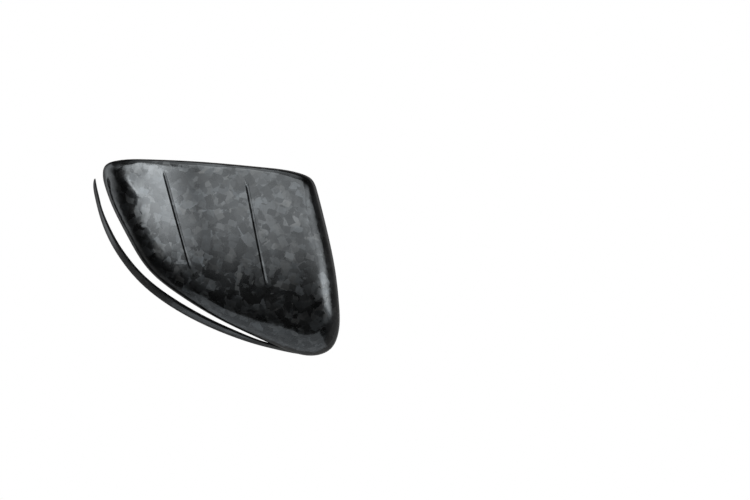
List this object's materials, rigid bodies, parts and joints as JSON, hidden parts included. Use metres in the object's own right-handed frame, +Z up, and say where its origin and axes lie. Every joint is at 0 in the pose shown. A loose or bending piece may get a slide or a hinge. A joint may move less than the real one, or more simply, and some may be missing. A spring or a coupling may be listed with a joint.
{
  "type": "mirror cover",
  "caption": "Forged-carbon clip-on cover for a car door mirror: a bowl-shaped shell with a crescent indicator slot and a slender free arm below it.",
  "frame": {"origin": "centre of the housing seat: the middle of the outline, in the plane of the rear rim", "axes": "+X inboard towards the car door, +Y to the rear into the mirror housing, +Z up; the front of the cover faces -Y"},
  "size_m": [0.245, 0.0813, 0.1962],
  "materials": {
    "forged_carbon": "chopped carbon flakes under a satin clear coat, bare and matt inside"
  },
  "bodies": {
    "root": {"mirror_cover": "forged_carbon"}
  },
  "joints": []
}
